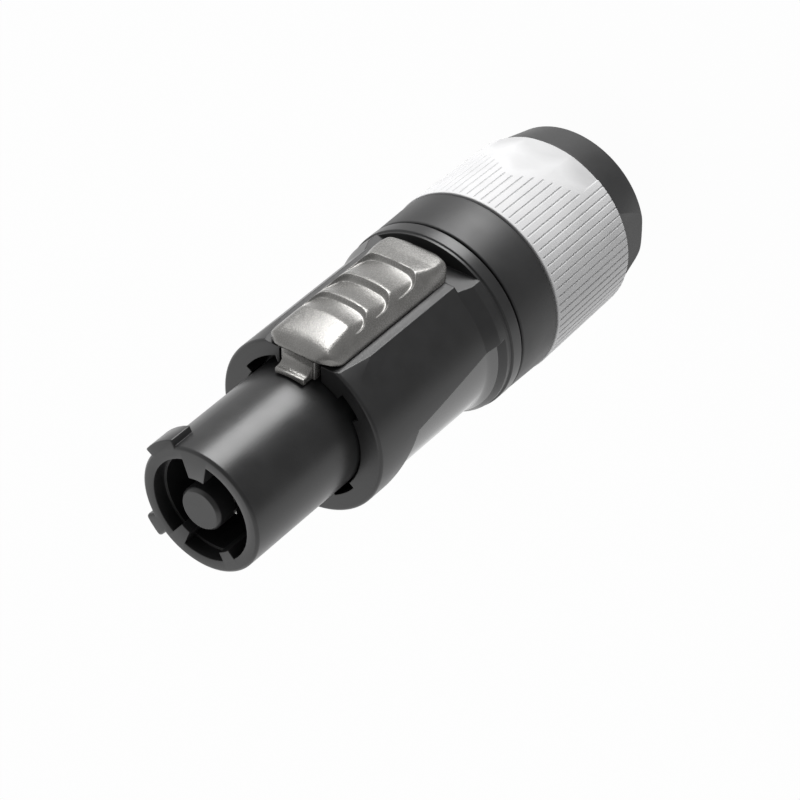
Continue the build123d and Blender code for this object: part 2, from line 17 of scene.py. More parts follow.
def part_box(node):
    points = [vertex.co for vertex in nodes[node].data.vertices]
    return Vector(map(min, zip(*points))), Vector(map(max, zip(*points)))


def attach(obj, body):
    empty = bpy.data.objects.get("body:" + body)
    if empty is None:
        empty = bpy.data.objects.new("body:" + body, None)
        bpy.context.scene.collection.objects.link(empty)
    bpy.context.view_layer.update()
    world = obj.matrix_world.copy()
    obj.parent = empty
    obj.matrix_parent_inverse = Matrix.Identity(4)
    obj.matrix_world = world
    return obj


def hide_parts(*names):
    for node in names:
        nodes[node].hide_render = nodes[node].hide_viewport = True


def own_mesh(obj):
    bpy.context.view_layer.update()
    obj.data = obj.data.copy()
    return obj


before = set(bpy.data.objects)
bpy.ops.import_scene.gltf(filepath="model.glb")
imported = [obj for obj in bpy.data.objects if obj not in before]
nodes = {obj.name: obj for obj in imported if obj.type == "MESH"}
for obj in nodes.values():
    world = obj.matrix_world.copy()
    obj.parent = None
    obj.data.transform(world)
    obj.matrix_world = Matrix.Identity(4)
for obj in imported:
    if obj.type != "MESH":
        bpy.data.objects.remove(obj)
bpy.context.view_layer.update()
print("CAD nodes:", len(nodes))

# %% [markdown]
# ## Heights taken from the solids
# Every new piece must sit exactly where its solid sits, so the main heights along the axis are read
# from the boxes of the CAD nodes. Millimetres keep the numbers easy to compare with a caliper; they
# become metres when a mesh is made.

# %% Heights in millimetres
def low_high(node):
    """Lowest and highest z of a CAD node in millimetres."""
    low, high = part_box(node)
    return low.z * 1000, high.z * 1000


grip_low, grip_high = low_high("grip_sleeve")
collar_high = low_high("bushing")[1]
insert_low, nose_high = low_high("insert")
spigot_low, housing_high = low_high("housing")
latch_low = low_high("latch")[0]
collar_gap, housing_gap, front_ring = 0.3, 0.4, 3.3
collar_low = grip_high + collar_gap
housing_low = collar_high + housing_gap
shoulder = housing_high - front_ring
print("grip", grip_low, grip_high, "housing", housing_high, "nose", nose_high)

# %% [markdown]
# ## Two mesh makers
# Most of a round connector is turned or extruded. `turned` spins a closed outline round the axis
# with many steps, so the silhouette stays smooth in a close-up, and `extruded` gives an outline a
# height. Both could be made with modifiers, but plain points are quicker to cut afterwards.

# %% Mesh helpers
def piece_from(name, points, faces, sharp=32):
    """Object from points in millimetres, smooth except where faces meet at a sharp angle."""
    mesh = bpy.data.meshes.new(name)
    mesh.from_pydata([(x / 1000, y / 1000, z / 1000) for x, y, z in points], [], faces)
    mesh.update()
    tidy = bmesh.new()
    tidy.from_mesh(mesh)
    bmesh.ops.recalc_face_normals(tidy, faces=tidy.faces)
    if tidy.calc_volume(signed=True) < 0:
        bmesh.ops.reverse_faces(tidy, faces=tidy.faces)
    tidy.to_mesh(mesh)
    tidy.free()
    obj = bpy.data.objects.new(name, mesh)
    bpy.context.scene.collection.objects.link(obj)
    soften(obj, sharp)
    return obj


def soften(obj, sharp=32):
    """Smooth shading, with creases where the faces turn by more than the sharp angle."""
    obj.data.polygons.foreach_set("use_smooth", [True] * len(obj.data.polygons))
    obj.data.set_sharp_from_angle(angle=radians(sharp))


def turned(name, outline, steps=256, sharp=32):
    """Closed outline of (radius, height) pairs spun round the axis; two radii may be 0."""
    turns = [2 * pi * step / steps for step in range(steps)]
    points, rings = [], []
    for radius, height in outline:
        if radius == 0:
            rings.append([len(points)] * steps)
            points.append((0, 0, height))
        else:
            rings.append(list(range(len(points), len(points) + steps)))
            points += [(radius * cos(turn), radius * sin(turn), height) for turn in turns]
    faces = []
    for here, there in zip(rings, rings[1:] + rings[:1]):
        if here[0] == here[1] and there[0] == there[1]:
            continue
        for step in range(steps):
            ahead = (step + 1) % steps
            corners = [here[step], here[ahead], there[ahead], there[step]]
            face = [c for i, c in enumerate(corners) if c not in corners[:i]]
            if len(face) > 2:
                faces.append(face)
    return piece_from(name, points, faces, sharp)


def tell(obj, stage):
    """Prints how many faces a piece has at a stage of the work."""
    print(obj.name, stage, len(obj.data.polygons))


def bands(count, levels, looped=False):
    """Faces between rings of equal count; looped also joins the last ring to the first."""
    faces = []
    for level in range(levels if looped else levels - 1):
        a, b = level * count, (level + 1) % levels * count
        faces += [[a + i, a + (i + 1) % count, b + (i + 1) % count, b + i] for i in range(count)]
    return faces


def extruded(name, outline, low, high):
    """Outline of (x, y) points given a height between low and high."""
    count = len(outline)
    points = [(x, y, z) for z in (low, high) for x, y in outline]
    ends = [[*range(count)][::-1], [*range(count, 2 * count)]]
    return piece_from(name, points, ends + bands(count, 2))


def polar(radius, angle):
    """Point in the plane across the axis, at a polar angle in degrees."""
    return radius * cos(radians(angle)), radius * sin(radians(angle))


print("mesh helpers ready")

# %% [markdown]
# ## Cutting with booleans
# Keyways, slots and the hollow under the body are cut the way a mould maker sinks them: with a
# shaped tool. The exact solver keeps the rims crisp. The tool is thrown away after each cut, and
# each piece is closed up when its last cut is made.

# %% Boolean helper
def apply_steps(obj):
    """Makes the result of an object's modifiers its mesh."""
    bpy.context.view_layer.update()
    graph = bpy.context.evaluated_depsgraph_get()
    mesh = bpy.data.meshes.new_from_object(obj.evaluated_get(graph))
    obj.modifiers.clear()
    old = obj.data
    obj.data = mesh
    bpy.data.meshes.remove(old)


def combine(target, tool, how="DIFFERENCE"):
    """Applies one boolean and deletes the tool."""
    step = target.modifiers.new("cut", "BOOLEAN")
    step.operation = how
    step.solver = "EXACT"
    step.object = tool
    apply_steps(target)
    bpy.data.objects.remove(tool, do_unlink=True)
    soften(target)


def closed(obj):
    """Clears double faces, joins doubled points and fills the hairline gaps a cut can leave."""
    obj.data.validate()
    skin = bmesh.new()
    skin.from_mesh(obj.data)
    bmesh.ops.remove_doubles(skin, verts=skin.verts, dist=5e-7)
    gaps = [edge for edge in skin.edges if edge.is_boundary]
    bmesh.ops.holes_fill(skin, edges=gaps, sides=0)
    bmesh.ops.recalc_face_normals(skin, faces=skin.faces)
    skin.to_mesh(obj.data)
    skin.free()


def gather(target, other):
    """Moves the faces of another piece into the target without cutting either."""
    both = bmesh.new()
    both.from_mesh(target.data)
    both.from_mesh(other.data)
    both.to_mesh(target.data)
    both.free()
    bpy.data.objects.remove(other, do_unlink=True)
    soften(target)


def slice_of(name, inner, outer, angle, width, low, high, steps=24):
    """Block between two radii, centred on a polar angle."""
    rim = [polar(outer, angle - width / 2 + width * i / steps) for i in range(steps + 1)]
    back = [polar(inner, angle + width / 2 - width * i / steps) for i in range(steps + 1)]
    return extruded(name, rim + back, low, high)


def block(name, low, high):
    """Plain cutting block between two corners."""
    outline = [(low[0], low[1]), (high[0], low[1]), (high[0], high[1]), (low[0], high[1])]
    return extruded(name, outline, low[2], high[2])


print("cutting helpers ready")

# %% [markdown]
# ## The housing
# The black body is a round moulding whose top is planed flat for the latch. Two planes rise from
# the round sides to the flat, which gives the shoulders their straight panels. Rings of this
# outline at several sizes give the body in one skin. It runs a little past its front, as each
# cutting tool runs past what it cuts, so that no two faces coincide.

# %% Housing outline
panel_angle = 48
seat_height = 12.3


def body_outline(radius, arc_steps=160, panel_steps=6):
    """Cross-section of the housing: a circle whose upper tangents rise to the flat seat."""
    lean = radians(panel_angle)
    across, touch = radius * sin(lean), radius * cos(lean)
    corner = across - (seat_height - touch) / tan(lean)
    turns = [lean + (2 * pi - 2 * lean) * i / arc_steps for i in range(arc_steps + 1)]
    points = [(radius * sin(turn), -radius * cos(turn)) for turn in turns]
    run, rise = across - corner, seat_height - touch
    steps = range(1, panel_steps + 1)
    parts = [i / panel_steps for i in steps]
    points += [(-across + run * part, -touch - rise * part) for part in parts]
    points += [(-corner + 2 * corner * i / panel_steps, -seat_height) for i in steps]
    points += [(corner + run * part, -seat_height + rise * part) for part in parts[:-1]]
    return points


def stacked(name, levels):
    """Skin through one outline at several (size, height) levels, closed at both ends."""
    points = [(x, y, height) for radius, height in levels for x, y in body_outline(radius)]
    count = len(points) // len(levels)
    ends = [[*range(count)][::-1], [*range(len(points) - count, len(points))]]
    return piece_from(name, points, bands(count, len(levels)) + ends)


flange_radius = 14.6
body_radius = 13.9
ring_top = housing_low + 2.65
past = 1
housing = stacked(
    "housing_shell",
    [
        (flange_radius, ring_top),
        (flange_radius, housing_low + 4.3),
        (flange_radius - 0.06, housing_low + 4.6),
        (body_radius + 0.08, housing_low + 6.5),
        (body_radius, housing_low + 6.9),
        (body_radius, housing_high + past),
    ],
)
tell(housing, "skin")

# %% [markdown]
# ## Rear rings and front edge of the housing
# Behind the latch the body ends in two plain rings, the step against which the collar closes. They
# meet the body in one flat plane, so they are cut on their own and gathered into it later. The
# front is trimmed by a turned tool, which makes its edge round and shaves the two shoulders. That
# leaves the curved light patch beside the latch.

# %% Rings, spigot and front trim
spigot_radius = 12.5
rings = turned(
    "rings",
    [
        (0, spigot_low),
        (spigot_radius, spigot_low),
        (spigot_radius, housing_low - 0.2),
        (12.7, housing_low),
        (14.72, housing_low),
        (14.85, housing_low + 0.13),
        (14.85, housing_low + 2.05),
        (14.75, housing_low + 2.15),
        (flange_radius, housing_low + 2.2),
        (flange_radius, ring_top),
        (0, ring_top),
    ],
)
edge_radius, edge_round, shave_radius = 13.4, 0.5, 14.6
edge_turns = [radians(a) for a in range(0, 85, 6)]
trim_low, trim_high, trim_radius = housing_high - 7.3, housing_high + 2, 16.5
trim = turned(
    "trim",
    [
        (edge_radius, trim_high),
        *[
            (edge_radius + edge_round * sin(a), housing_high - edge_round * (1 - cos(a)))
            for a in edge_turns
        ],
        (shave_radius, trim_low),
        (trim_radius, trim_low),
        (trim_radius, trim_high),
    ],
)
combine(housing, trim)
combine(housing, block("top_trim", (-20, -20, housing_high), (20, 20, housing_high + 4)))
tell(housing, "trimmed")

# %% [markdown]
# ## The finger hollow under the body
# The lower half of the body is scooped so that the fingers hold it against the pull of the thumb.
# Its upper rim runs slanted along the side and its ends ramp out. The tool is a slanted prism less
# a turned core, so the core is the shape that stays.

# %% Finger hollow
def eased(part):
    """Rise from 0 to 1 that starts and ends level."""
    return part * part * (3 - 2 * part)


relief_front = housing_high - 8.7
relief_back = housing_low + 5.7
ramp_end = relief_back - 1.8
relief_half, relief_depth = 16, 14.9
side_shape = [
    (-0.4, relief_front),
    (-3.98, ramp_end - 0.9),
    (relief_depth, ramp_end - 0.9),
    (relief_depth, relief_front + 9.0),
]
relief = piece_from(
    "relief",
    [(x, y, z) for x in (-relief_half, relief_half) for y, z in side_shape],
    [[0, 1, 2, 3], [7, 6, 5, 4], [0, 4, 5, 1], [1, 5, 6, 2], [2, 6, 7, 3], [3, 7, 4, 0]],
)
hollow_radius, outside_radius = 13.15, 14.95
ramp_start, ramp_length, out_length = ramp_end - 1.9, 4.4, 7.0
parts = [i / 16 for i in range(17)]
ramp_fall, out_rise = outside_radius - hollow_radius, body_radius - hollow_radius
core_low = ramp_end - 3.6
core = turned(
    "core",
    [
        (0, core_low),
        (15.5, core_low),
        *[(outside_radius - ramp_fall * eased(t), ramp_start + ramp_length * t) for t in parts],
        *[(hollow_radius + out_rise * eased(t), relief_front + out_length * t) for t in parts],
        (body_radius, housing_high + past),
        (0, housing_high + past),
    ],
    sharp=50,
)
combine(relief, core)
combine(housing, relief)
tell(housing, "hollow")

# %% [markdown]
# ## Bore, keyways and latch slot
# The nose passes through an opening with keyways for its lugs, and the thumb latch dips into a slot
# in the same ring. One outline could hold them all, but cuts made one after another keep each rim
# true, and their dark gaps make the front read as an assembly of parts.

# %% Bore and keyways
def cylinder(name, radius, low, high, steps=256):
    """Round cutting tool about the axis."""
    return turned(name, [(0, low), (radius, low), (radius, high), (0, high)], steps)


bore_radius, opening_radius, key_inner = 10.9, 10.3, 9.0
big_lug_angle, small_lug_angle = 310, 40
behind, front = spigot_low - past, housing_high + past
ring_back = shoulder - 0.05
for part in (rings, housing):
    combine(part, cylinder("cavity", bore_radius, behind, shoulder))
combine(housing, cylinder("opening", opening_radius, shoulder - past, front))
for angle, width, radius, low in (
    (big_lug_angle, 35, 11.35, behind),
    (small_lug_angle, 21, 11.9, behind),
    (221, 21, 11.6, ring_back),
    (132, 23, 11.2, ring_back),
):
    combine(housing, slice_of("keyway", key_inner, radius, angle, width, low, front))
    if low < spigot_low:
        combine(rings, slice_of("keyway", key_inner, radius, angle, width, low, housing_low + 4))
combine(housing, block("latch_slot", (-3.6, -16, ring_back), (3.6, -9.5, front)))
pocket_low, pocket_high = housing_low + 2.2, housing_low + 6.7
combine(housing, block("seat_pocket", (-14.6, -16, pocket_low), (14.6, -11.65, pocket_high)))
spring_low, spring_high = 49.0, 61.0
trough_floor = -seat_height + 0.6
combine(housing, block("spring_trough", (-1.3, -13, spring_low), (1.3, trough_floor, spring_high)))
tell(housing, "openings")

# %% [markdown]
# ## Guide slots and the spring stop
# Four slots in the seat hold the latch's feet, and a small block between them carries the spring.
# They show when the latch is pulled back, so they are cut as the solid has them.

# %% Guide slots and stop
foot_places = (10.3, 24.3)
guide_inner, guide_floor, guide_back, guide_front = 4.4, -11.2, 1.7, 4.2
for place in foot_places:
    low, high = housing_high - place - guide_back, housing_high - place + guide_front
    for side in (-1, 1):
        for name, outer, top in (("guide", 5.6, -13), ("undercut", 6.1, -11.95)):
            a, b = sorted((side * guide_inner, side * outer))
            combine(housing, block(name, (a, top, low), (b, guide_floor, high)))
combine(housing, block("stop", (-1.6, -13.9, 47.0), (1.6, -11.5, spring_low)), "UNION")
closed(housing)
closed(rings)
gather(housing, rings)
soften(housing, 8)
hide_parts("housing")
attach(housing, "shell")
tell(housing, "done")

# %% [markdown]
# ## The nose and its socket
# The insert carries the contacts. Its barrel and centre post are turned as one, with a softened
# rim, and the two bayonet lugs and three coding ribs are joined to it later. Turning them apart
# would leave a seam on the socket's floor.

# %% Turned barrel and post
nose_radius, base_radius, post_radius = 10.0, 10.7, 3.4
rim = [(nose_radius, -0.5), (9.985, -0.36), (9.9, -0.22), (9.62, -0.015), (9.52, 0.0)]
socket_floor = nose_high - 17
insert = turned(
    "nose_insert",
    [
        (0, insert_low),
        (base_radius, insert_low),
        (base_radius, shoulder),
        (nose_radius, shoulder),
        *[(radius, nose_high + rise) for radius, rise in rim],
        (8.22, nose_high),
        (8.12, nose_high - 0.04),
        (8.08, nose_high - 0.14),
        (8.05, nose_high - 2.3),
        (7.75, nose_high - 2.35),
        (7.7, socket_floor),
        (post_radius, socket_floor),
        (post_radius, nose_high - 0.62),
        (3.37, nose_high - 0.5),
        (3.02, nose_high - 0.06),
        (2.93, nose_high),
        (0, nose_high),
    ],
)
tell(insert, "barrel")

# %% [markdown]
# ## Lugs and coding ribs
# A bayonet lug is a block that stands proud of the barrel, with its corners broken so that it finds
# its slot. The ribs in the socket end flush with the rim, so the face of the nose reads as one flat
# ring with teeth.

# %% Lugs and ribs
def bevelled(obj, width, segments, angle=40):
    """Rounds the sharp edges of a block."""
    step = obj.modifiers.new("round", "BEVEL")
    step.width = width / 1000
    step.segments = segments
    step.limit_method = "ANGLE"
    step.angle_limit = radians(angle)
    apply_steps(obj)
    soften(obj, 50)
    return obj


lug_low = nose_high - 4.0
in_wall = 8.6
big_lug = slice_of("big_lug", in_wall, 11.05, big_lug_angle, 32, lug_low, nose_high, 5)
combine(insert, bevelled(big_lug, 0.22, 3), "UNION")
small_lug = slice_of("small_lug", in_wall, 11.6, small_lug_angle, 18, lug_low, nose_high, 3)
combine(insert, bevelled(small_lug, 0.5, 5), "UNION")
for inner, angle, width in ((5.1, 275, 29), (5.4, 60, 16), (6.7, 126, 17)):
    rib = slice_of("rib", inner, in_wall, angle, width, nose_high - 17.2, nose_high)
    combine(insert, bevelled(rib, 0.12, 2), "UNION")
tell(insert, "lugs and ribs")

# %% [markdown]
# ## Chambers, windows and contact slots
# Behind the nose the insert holds three screw terminals. Their chambers, the screwdriver windows
# and the slots for the contact strips are cut radially, as the view through the cable opening
# reaches them. Two keys on the foot of the insert fit the keyways of the housing.

# %% Terminal chambers
def turned_about(obj, angle):
    """Turns a cutting tool about the connector's axis."""
    obj.data.transform(Matrix.Rotation(radians(angle), 4, "Z"))
    return obj


slot_floor, window_radius, window_height = 2.5, 2.1, 0.0493
cuts = (
    ("chamber", 8.6, 2.8, insert_low - past, insert_low + 14.0),
    ("strip_slot", post_radius, 1.5, insert_low + 13.5, nose_high - 16.9),
    ("post_slot", 4.4, 1.5, socket_floor, nose_high - 3.5),
)
window_place = Matrix.Translation((0, 0, window_height)) @ Matrix.Rotation(pi / 2, 4, "Y")
for angle in (0, 180, 90):
    for name, reach, half, low, high in cuts:
        tool = block(name, (slot_floor, -half, low), (reach, half, high))
        combine(insert, turned_about(tool, angle))
    window = cylinder("window", window_radius, 8, 12, steps=40)
    window.data.transform(window_place)
    combine(insert, turned_about(window, angle))
key_low, key_high = insert_low + 0.03, shoulder - 0.03
for angle, radius, width in ((big_lug_angle, 11.15, 32), (small_lug_angle, 11.7, 18)):
    combine(insert, slice_of("key", 9.8, radius, angle, width, key_low, key_high), "UNION")
closed(insert)
soften(insert)
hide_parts("insert")
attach(insert, "shell")
tell(insert, "done")

# %% [markdown]
# ## The thumb latch
# The latch is a small die casting: a dome at the nose, three scalloped lobes for the thumb and a
# flat tail. Such a form is easiest as a height field, where one function gives the height of the
# surface at every point of the plan. A smooth maximum and minimum make its rounded joints.

# %% Latch sizes
latch_high = housing_high + 0.8
pad_low = 12.45
rim_height = 0.35
half_width = 6.0
crown_half = 4.6
crown = 16.15
lobes = ((6.6, 10.3), (11.2, 15.5), (16.4, 21.6))
lobe_depths = (0.75, 1.0, 1.0)
lobe_half = 4.9
lobe_floor = 14.4
lobe_corner = 2.4
step_lean = 24
front_corner, rear_corner = 3.2, 3.0
nose_length, nose_low = 5.4, 13.5


def smooth_min(a, b, blend):
    """Lower of two heights with a round transition."""
    mix = np.clip(0.5 + 0.5 * (b - a) / blend, 0, 1)
    return b * (1 - mix) + a * mix - blend * mix * (1 - mix)


def smooth_max(a, b, blend):
    """Higher of two heights with a round transition."""
    return -smooth_min(-a, -b, blend)


print("latch from", round(latch_low, 2), "to", round(latch_high, 2))

# %% [markdown]
# ## Height of the latch surface
# Seen from the end, the pad is a trapezoid with a slightly domed top. Seen from the side, it has a
# round nose and a tail that drops away. Each lobe is a hollow that falls towards the cable,
# flattens out, and stops at a leaning step, which the thumb pushes against.

# %% Latch height function
tail_length, tail_ramp = 6.5, 3.0


def tail_share(z):
    """0 along the lobes and 1 over the tail, with a short ramp between."""
    return np.clip((latch_low + tail_length - z) / tail_ramp, 0, 1)


def section_height(x, z):
    """Domed trapezoid with well rounded shoulders; it widens over the tail."""
    top_half = crown_half + 0.6 * tail_share(z)
    rise = crown - 0.2 - pad_low - rim_height
    side = pad_low + rim_height + (half_width - np.abs(x)) * rise / (half_width - top_half)
    dome = crown - (0.6 - 0.2 * tail_share(z)) * (x / crown_half) ** 2
    return smooth_min(side, dome, 2.6)


def profile_height(z):
    """Side profile: a rising tail line, a level middle and an arc down at the nose."""
    tail = 15.0 + 0.145 * (z - latch_low)
    back = np.clip((z - (latch_high - nose_length)) / nose_length, 0, 1)
    nose = nose_low + (crown - nose_low) * (1 - back**2.15) ** 0.62
    return smooth_min(np.minimum(nose, crown + 0.4), tail, 0.35)


def lobe_height(x, z, start, end, depth):
    """Top of the metal inside one lobe: the hollow surface or the wall round it."""
    front, back = latch_high - start, latch_high - end
    along = np.clip((front - z) / (front - back), -0.6, 1)
    fall = np.where(along > 0, depth * (1 - (1 - along) ** 1.7), depth * 1.7 * along)
    surface = smooth_max(section_height(x, z) - fall, np.full_like(x, lobe_floor), 0.3)
    across = np.abs(x) - (lobe_half - lobe_corner)
    behind = (back + lobe_corner) - z
    outside = np.hypot(np.maximum(across, 0), np.maximum(behind, 0)) - lobe_corner
    beside = np.maximum(across, behind) - lobe_corner
    outside = np.where((across < 0) | (behind < 0), beside, outside)
    wall = lobe_floor + np.maximum(outside, -3) / tan(radians(step_lean))
    return smooth_max(surface, wall, 0.6)


def plan_half(z):
    """Half width of the plan outline, with round corners at both ends."""
    nose = np.clip(z - (latch_high - front_corner), 0, front_corner)
    tail = np.clip(latch_low + rear_corner - z, 0, rear_corner)
    nose_cut = front_corner - np.sqrt(front_corner**2 - nose**2)
    return half_width - nose_cut - (rear_corner - np.sqrt(rear_corner**2 - tail**2))


def quarter(share):
    """Fall of a rounded edge: 1 at the edge, 0 where the share of its width reaches 1."""
    return 1 - np.sqrt(1 - (1 - share) ** 2)


def latch_height(x, z):
    """Height of the latch surface above the connector's axis."""
    end_blend = 0.5 + 1.2 * np.clip((z - latch_high + 7) / 3, 0, 1) + 1.2 * tail_share(z)
    height = smooth_min(section_height(x, z), profile_height(z), end_blend)
    for (start, end), depth in zip(lobes, lobe_depths):
        height = smooth_min(height, lobe_height(x, z, start, end, depth), 0.12)
    inside = np.clip((plan_half(z) - np.abs(x)) / (0.6 + 0.9 * tail_share(z)), 0, 1)
    front, rear = np.clip((latch_high - z) / 0.5, 0, 1), np.clip((z - latch_low) / 1.4, 0, 1)
    rounding = (0.25 + 0.6 * tail_share(z)) * quarter(inside)
    rounding = rounding + 0.25 * quarter(front) + 0.8 * quarter(rear)
    return np.maximum(height - rounding, pad_low + 0.02)


dome_middle = np.array([0.0]), np.array([61.5])
print("height of the dome:", latch_height(*dome_middle).round(2))

# %% [markdown]
# ## Building the latch pad
# Every row spans the pad at its own width, so the round corners come out clean without trimming.
# Rows are packed closely, about an eighth of a millimetre apart, because the light on the scalloped
# lobes shows every facet.

# %% Latch pad mesh
rows, columns = 232, 120
z_rows = np.linspace(latch_low, latch_high, rows)
end_run = 0.2
end_shares = np.array([0.02, 0.07, 0.15, 0.26, 0.4, 0.6, 0.8])
z_rows[1:8] = latch_low + end_run * end_shares
z_rows[-8:-1] = latch_high - end_run * end_shares[::-1]
even = np.linspace(-1, 1, columns)
spread = np.sin(even * pi / 2) * 0.35 + even * 0.65
x_grid = plan_half(z_rows)[:, None] * spread[None, :]
z_grid = np.repeat(z_rows[:, None], columns, axis=1)
h_grid = latch_height(x_grid, z_grid)
under_run, under_rise = 2.4, 0.9
under = pad_low + np.clip((z_rows - (latch_high - under_run)) / under_run, 0, 1) * under_rise
points = [(x, -h, z) for x, h, z in zip(x_grid.ravel(), h_grid.ravel(), z_grid.ravel())]
edge = len(points)
for row in range(rows):
    points.append((x_grid[row, 0], -under[row], z_rows[row]))
    points.append((x_grid[row, -1], -under[row], z_rows[row]))
faces = []
for row in range(rows - 1):
    for col in range(columns - 1):
        a = row * columns + col
        faces.append([a, a + 1, a + columns + 1, a + columns])
    low_a, low_b = edge + 2 * row, edge + 2 * row + 2
    faces.append([low_a, low_a + 1, low_b + 1, low_b])
    faces.append([row * columns, (row + 1) * columns, low_b, low_a])
    faces.append([row * columns + columns - 1, low_a + 1, low_b + 1, (row + 2) * columns - 1])
last = edge + 2 * rows - 1
faces.append([*range(columns), edge + 1, edge])
faces.append([*range((rows - 1) * columns, rows * columns), last, last - 1])
latch = piece_from("latch_casting", points, faces, sharp=38)
tell(latch, "pad")

# %% [markdown]
# ## Neck, locking bar and feet
# A short neck reaches forward from the pad and ends in the bar that drops behind the chassis
# socket. Under the pad there is a hollow for the spring and four small feet that run in the seat.
# They are joined to the pad with broken edges, so the casting is one piece.

# %% Neck, bar and feet
def joined(low, high, round_width):
    """Adds a block with rounded edges to the latch."""
    combine(latch, bevelled(block("part", low, high), round_width, 3), "UNION")


def ledge(name, outline, half):
    """Outline of (height, z) points made into a bar that runs across the latch."""
    count = len(outline)
    points = [(x, -h, z) for x in (-half, half) for h, z in outline]
    ends = [[*range(count)], [*range(count, 2 * count)][::-1]]
    return piece_from(name, points, ends + bands(count, 2))


neck_low, neck_high, neck_half = housing_high - 1.0, housing_high + 0.6, 2.9
combine(latch, block("hollow", (-1.8, -14.1, 46.95), (1.8, -12.0, 61.12)))
joined((-neck_half, -13.6, neck_low), (neck_half, -9.6, neck_high), 0.3)
bar_under, bar_top, bar_root, bar_half = 9.5, 10.9, 12.6, 2.47
bar_start, bar_end, flare = neck_low + 0.05, neck_high + 1.9, 1.5
turns = [radians(a) for a in range(0, 91, 9)]
bar = [
    (bar_under, bar_start),
    (bar_root, bar_start),
    (bar_root, neck_high - 0.02),
    *[(bar_top + flare * (1 - sin(a)), neck_high + flare * (1 - cos(a))) for a in turns],
    (bar_top, bar_end - 0.2),
    (10.84, bar_end - 0.06),
    (10.7, bar_end),
    (bar_under, bar_end),
]
combine(latch, bevelled(ledge("bar", bar, bar_half), 0.12, 2, 60), "UNION")
combine(latch, cylinder("nose_clearance", opening_radius, 60, 72))
foot_inner, foot_floor, foot_length = 4.55, -11.35, 4.0
for place in foot_places:
    low = housing_high - place
    for side in (-1, 1):
        for foot_outer, foot_top in ((5.45, -12.7), (5.95, -11.8)):
            a, b = sorted((side * foot_inner, side * foot_outer))
            joined((a, foot_top, low), (b, foot_floor, low + foot_length), 0.08)
closed(latch)
soften(latch, 38)
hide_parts("latch")
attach(latch, "latch")
tell(latch, "done")

# %% [markdown]
# ## The bushing
# The bushing is screwed over the spigot from behind. Only its collar and its rear end are seen; the
# twelve-sided core between them carries the grip. All of it is turned, and two plain blocks cut the
# wrench flats, so that their edges stay crisp against the tapered end.

# %% Bushing
def foot_round(radius, low, size, turns):
    """Round corner at the foot of a turned outline, from below to the outside."""
    return [(radius + size * sin(radians(a)), low + size * (1 - cos(radians(a)))) for a in turns]


def head_round(radius, height, size, turns):
    """Round corner at the head of a turned outline, from the outside inwards."""
    return [(radius + size * cos(radians(a)), height + size * sin(radians(a))) for a in turns]


core_radius, core_sides, thread_radius, cable_radius = 13.9, 12, 12.6, 9.0
under_grip, rim_round, flat_distance = 13.3, 0.3, 12.5
bushing = turned(
    "bushing_body",
    [
        (0, 0),
        *foot_round(12.3, 0, 0.68, range(0, 79, 6)),
        (14.3, 6.6),
        *head_round(14.08, 6.66, 0.22, range(0, 91, 10)),
        (under_grip, grip_low),
        (under_grip, collar_low),
        *foot_round(14.73, collar_low, 0.22, range(0, 91, 9)),
        *head_round(14.51, collar_high - rim_round, rim_round, range(0, 91, 9)),
        (0, collar_high),
    ],
    steps=360,
)
core_outline = [polar(core_radius, 15 + 30 * i) for i in range(core_sides)]
core_part = extruded("core_part", core_outline, grip_low - 0.05, collar_low + 0.05)
combine(bushing, core_part, "UNION")
for side in (-1, 1):
    a, b = sorted((side * flat_distance, side * 18))
    combine(bushing, block("wrench_flat", (a, -20, -past), (b, 20, grip_low)))
bore = [(cable_radius, -past), (cable_radius, 10.2), (9.6, 10.2), (11.0, 16.0)]
bore = [(0, -past), *bore, (thread_radius, 16.0), (thread_radius, 36), (0, 36)]
combine(bushing, turned("bore", bore, steps=360))
closed(bushing)
soften(bushing, 9)
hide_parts("bushing")
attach(bushing, "bushing")
tell(bushing, "done")

# %% [markdown]
# ## The latch spring
# A coil of round wire stands between the stop block and the front wall of the latch's hollow. A
# bevelled curve could draw it, but rings of points make a closed mesh that can be flattened towards
# its fixed end as the latch slides back, which is how a real spring gets shorter.

# %% Latch spring
coil_radius, coil_height, wire_radius = 0.8, 12.9, 0.2
coil_turns, steps_per_turn, wire_sides = 7, 24, 10
coil_length, latch_travel = spring_high - spring_low, 1.5
coil_steps = coil_turns * steps_per_turn
coil_rise = (coil_length - 2 * wire_radius) / coil_steps
points = []
for step in range(coil_steps + 1):
    angle = 2 * pi * step / steps_per_turn
    outward = Vector((cos(angle), sin(angle), 0))
    around = Vector((-sin(angle), cos(angle), 0)) * (2 * pi * coil_radius / steps_per_turn)
    across = (around + Vector((0, 0, coil_rise))).normalized().cross(outward)
    height = spring_low + wire_radius + coil_rise * step
    middle = outward * coil_radius + Vector((0, -coil_height, height))
    for side in range(wire_sides):
        turn = 2 * pi * side / wire_sides
        points.append(tuple(middle + wire_radius * (cos(turn) * outward + sin(turn) * across)))
ends = [[*range(wire_sides)], [*range(len(points) - wire_sides, len(points))]]
spring = piece_from("spring_coil", points, ends + bands(wire_sides, coil_steps + 1), sharp=60)
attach(spring, "shell")
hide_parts("latch_spring")
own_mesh(spring)
tell(spring, "done")

# %% [markdown]
# ## The fluted grip
# The pale sleeve has 74 fine flutes. On two opposite sides they stop at a curved line and leave a
# smooth field for the thumb, made of three faint facets. Cutting each flute would be slow; a polar
# grid with fourteen columns to each carries them all, with one more column at each edge of the
# middle facet, so that the crease is one clean line.

# %% Grip profile functions
flutes = 74
rear_radius, mean_radius, front_radius = 14.7, 14.9, 15.1
lip = 0.5
groove_depth, groove_half = 0.13, 0.14
stop_turns = (0, 2, 16, 27, 37)
stop_heights = (17.3, 17.2, 14.6, 13.3, 11.7)
field_half, facet_edge = 37, 16
front_round, rear_round = 0.2, 0.15


